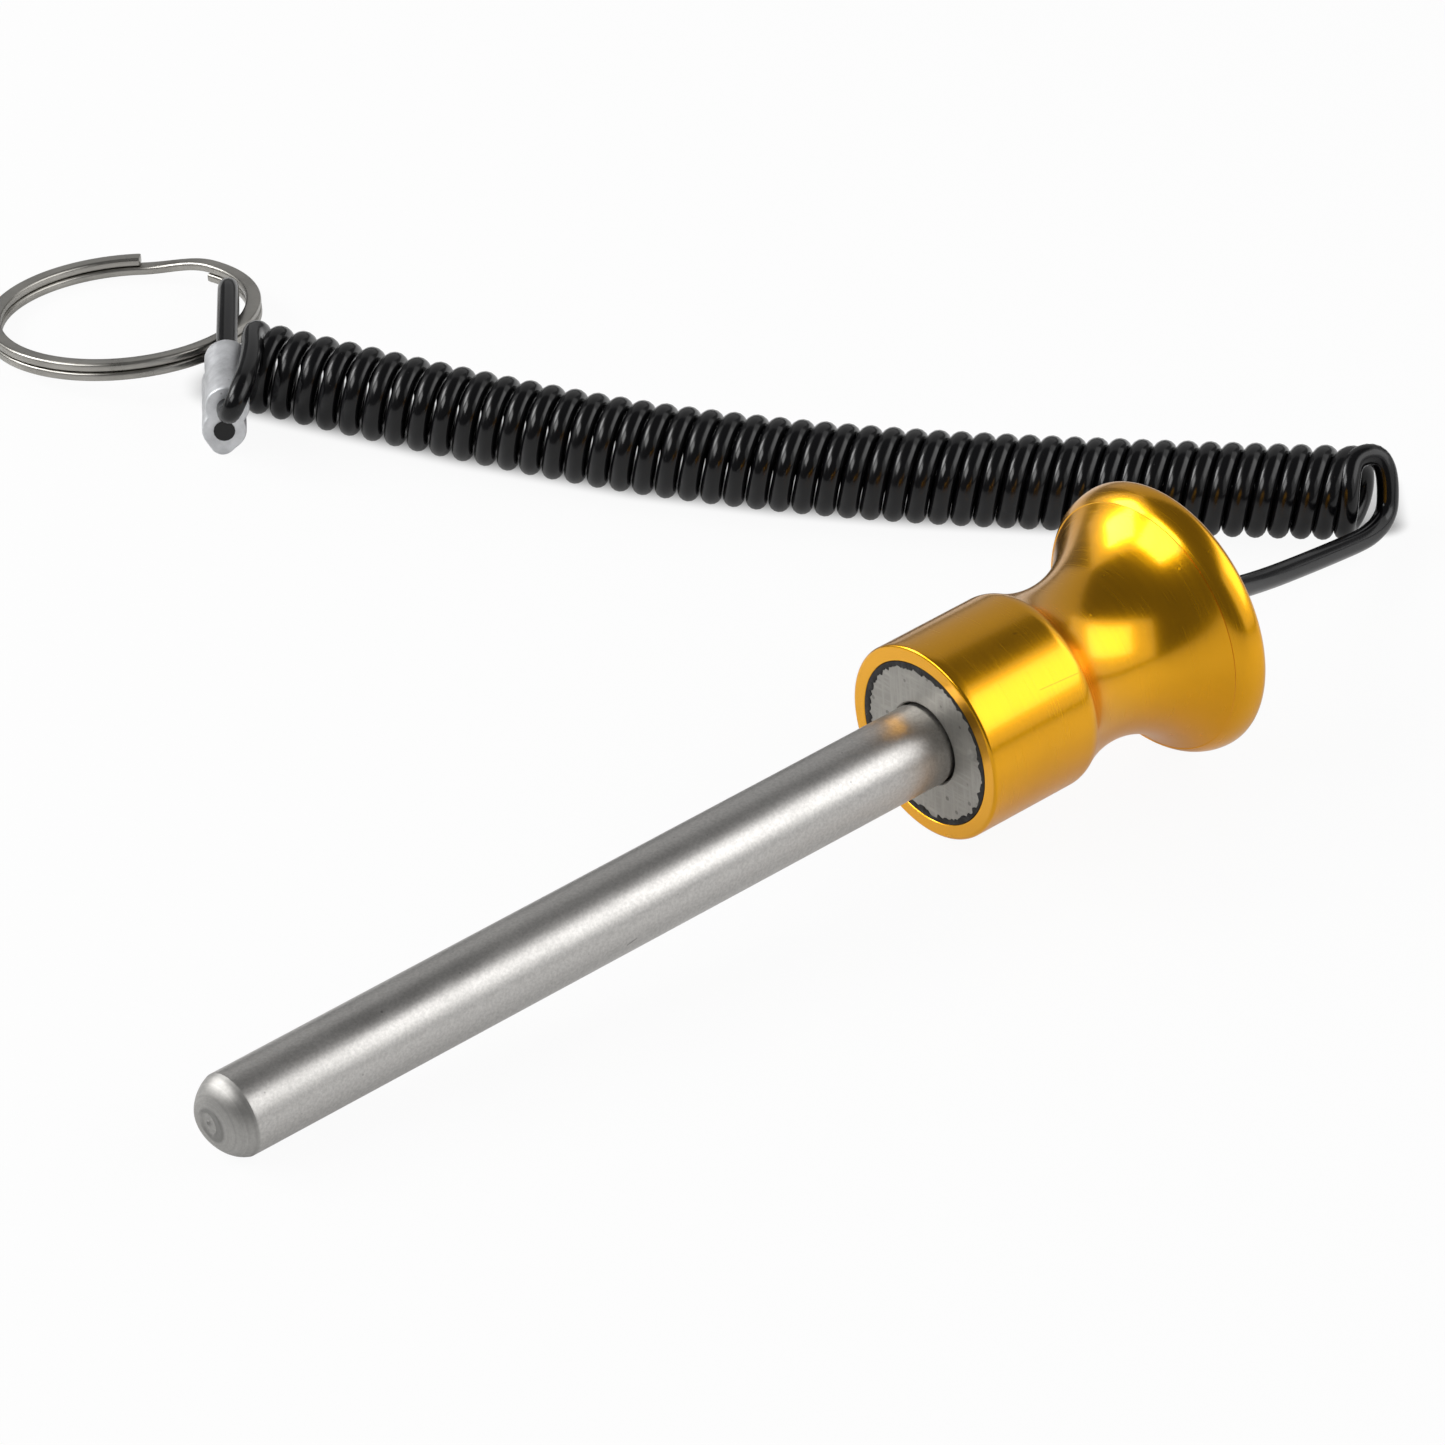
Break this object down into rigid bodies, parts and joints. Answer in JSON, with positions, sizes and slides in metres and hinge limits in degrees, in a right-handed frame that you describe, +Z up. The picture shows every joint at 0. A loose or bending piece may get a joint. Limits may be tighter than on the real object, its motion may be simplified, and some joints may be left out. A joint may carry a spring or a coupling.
{
  "type": "weight stack pin",
  "caption": "Weight stack selector pin with a magnet in its turned gold handle, a coiled black retaining cord and a split ring",
  "frame": {"origin": "On the floor under the middle of the turned pin's footprint, which is its handle, shank and magnet without the cord", "axes": "+Z up; +X along the pin from its tip to its handle, level, while the pin's own axis rises 4.96 degrees from tip to handle; +Y to the side on which the coiled cord lies"},
  "size_m": [0.2003, 0.2001, 0.0339],
  "materials": {
    "gold_anodised": "gold anodised, polished aluminium",
    "satin_steel": "ground, satin",
    "magnet_grey": "dull plated, scratched",
    "black_glue": "dull, uneven",
    "black_cord": "smooth, glossy",
    "dull_aluminium": "matt, pressed",
    "ring_steel": "nickel plated spring steel"
  },
  "bodies": {
    "pin_and_cord": {"handle": "gold_anodised", "shank": "satin_steel", "ring_magnet": "magnet_grey", "adhesive_ring": "black_glue", "cord_tail": "black_cord", "cord_coil": "black_cord", "cord_loop": "black_cord", "crimp_sleeve": "dull_aluminium"},
    "ring": {"split_ring": "ring_steel"}
  },
  "joints": [
    {"name": "ring_swing", "type": "hinge", "parent": "pin_and_cord", "child": "ring", "pos_m": [0.04353, 0.1485, 0.00424], "axis": [0.9803, 0.1977, 0], "range_deg": [0, 145]}
  ]
}
